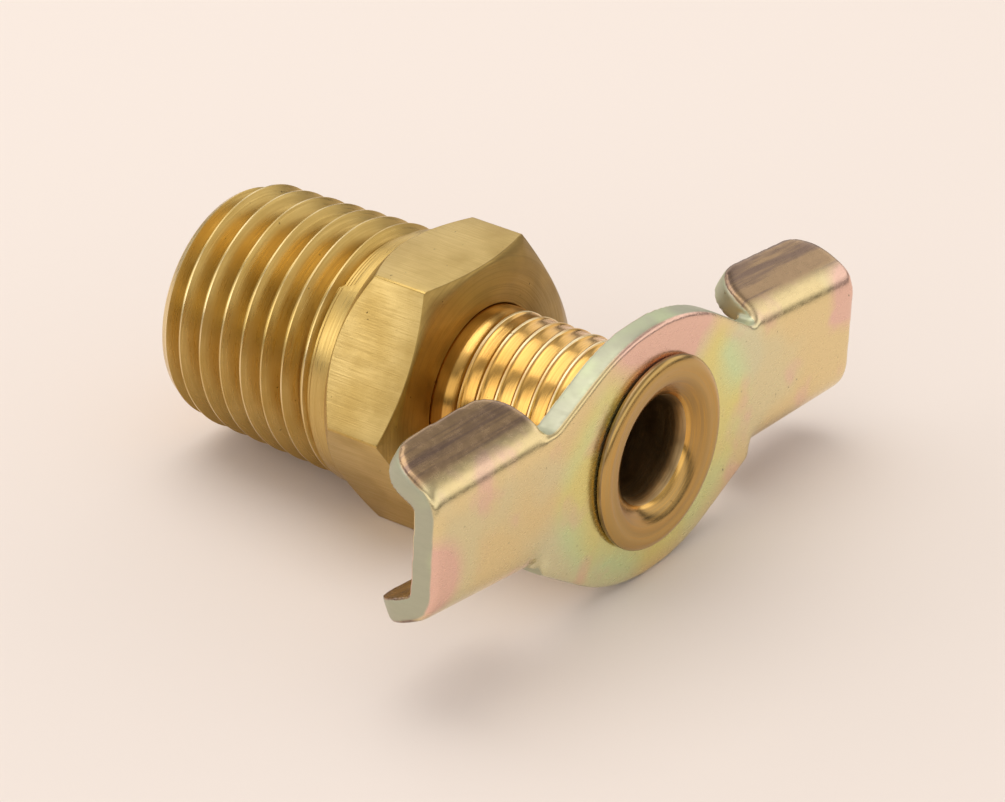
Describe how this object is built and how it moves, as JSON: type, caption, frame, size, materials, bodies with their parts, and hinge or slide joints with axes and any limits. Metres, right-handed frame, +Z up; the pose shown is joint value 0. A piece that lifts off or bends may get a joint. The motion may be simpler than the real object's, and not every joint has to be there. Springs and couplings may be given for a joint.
{
  "type": "drain cock",
  "caption": "Brass drain cock with a hexagon body on a tapered pipe thread, a hollow screwed stem and a folded sheet wing handle; it drains through the stem.",
  "frame": {"origin": "on the valve axis, level with the thread-side end of the hexagon's corner edges", "axes": "+X along the valve axis from the pipe thread towards the wing handle, +Z up from the hexagon flat that the part lies on"},
  "size_m": [0.0282, 0.0373, 0.0142],
  "materials": {
    "body_brass": "machined satin",
    "stem_brass": "turned bright",
    "seal_rubber": "moulded matt",
    "plated_sheet": "zinc plated, yellow passivated"
  },
  "bodies": {
    "valve_body": {"valve_body": "body_brass"},
    "seal_ring": {"seal_ring": "seal_rubber"},
    "stem": {"stem": "stem_brass", "wing_handle": "plated_sheet"}
  },
  "joints": [
    {"name": "stem_travel", "type": "slide", "parent": "valve_body", "child": "seal_ring", "axis": [1, 0, 0], "range_m": [-0.00424, 0]},
    {"name": "stem_turn", "type": "hinge", "parent": "seal_ring", "child": "stem", "pos_m": [0, 0, 0], "axis": [1, 0, 0], "range_deg": [-1440, 0]}
  ],
  "couplings": [
    {"joint": "stem_travel", "follows": "stem_turn", "m_per_rad": 0.00016844}
  ]
}
